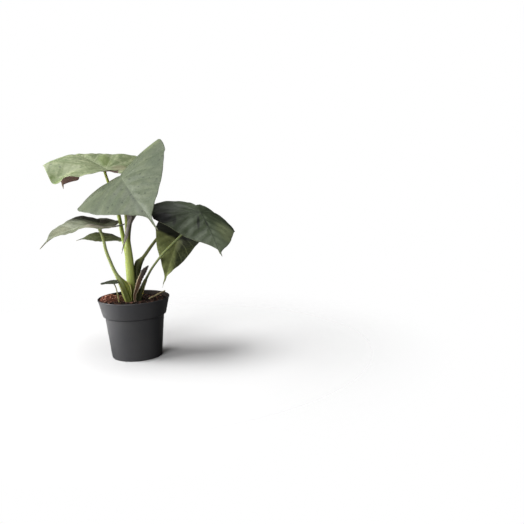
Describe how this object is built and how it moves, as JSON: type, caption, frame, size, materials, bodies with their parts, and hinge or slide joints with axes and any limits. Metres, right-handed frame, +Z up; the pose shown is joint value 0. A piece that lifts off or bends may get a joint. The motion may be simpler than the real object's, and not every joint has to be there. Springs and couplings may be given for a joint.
{
  "type": "potted elephant ear plant",
  "caption": "Young elephant ear plant with heart-shaped drip-tipped leaves on sheathed stalks, growing in a soil-filled round nursery pot with a flared collar.",
  "frame": {"origin": "centre of the pot's flat underside", "axes": "+Z up along the pot's axis, +X to the right and +Y away from the viewer when the plant is seen from its best side"},
  "size_m": [0.3308, 0.3099, 0.3611],
  "materials": {
    "pot_plastic": "dark grey moulded plastic, satin",
    "soil": "coir and bark chips",
    "blade": "waxy satin leaf",
    "petiole": "smooth satin leaf stalk",
    "bract": "dry papery bract",
    "straw": "dry stalk"
  },
  "bodies": {
    "root": {"pot": "pot_plastic", "soil": "soil", "bract": "bract", "dry_stalk": "straw", "blade_front": "blade", "blade_left": "blade", "blade_hanging": "blade", "blade_right": "blade", "blade_upper": "blade", "blade_folded": "blade", "blade_small": "blade", "blade_low": "blade", "petiole_front": "petiole", "petiole_left": "petiole", "petiole_hanging": "petiole", "petiole_right": "petiole", "petiole_upper": "petiole", "petiole_folded": "petiole", "petiole_small": "petiole", "petiole_low": "petiole"}
  },
  "joints": []
}
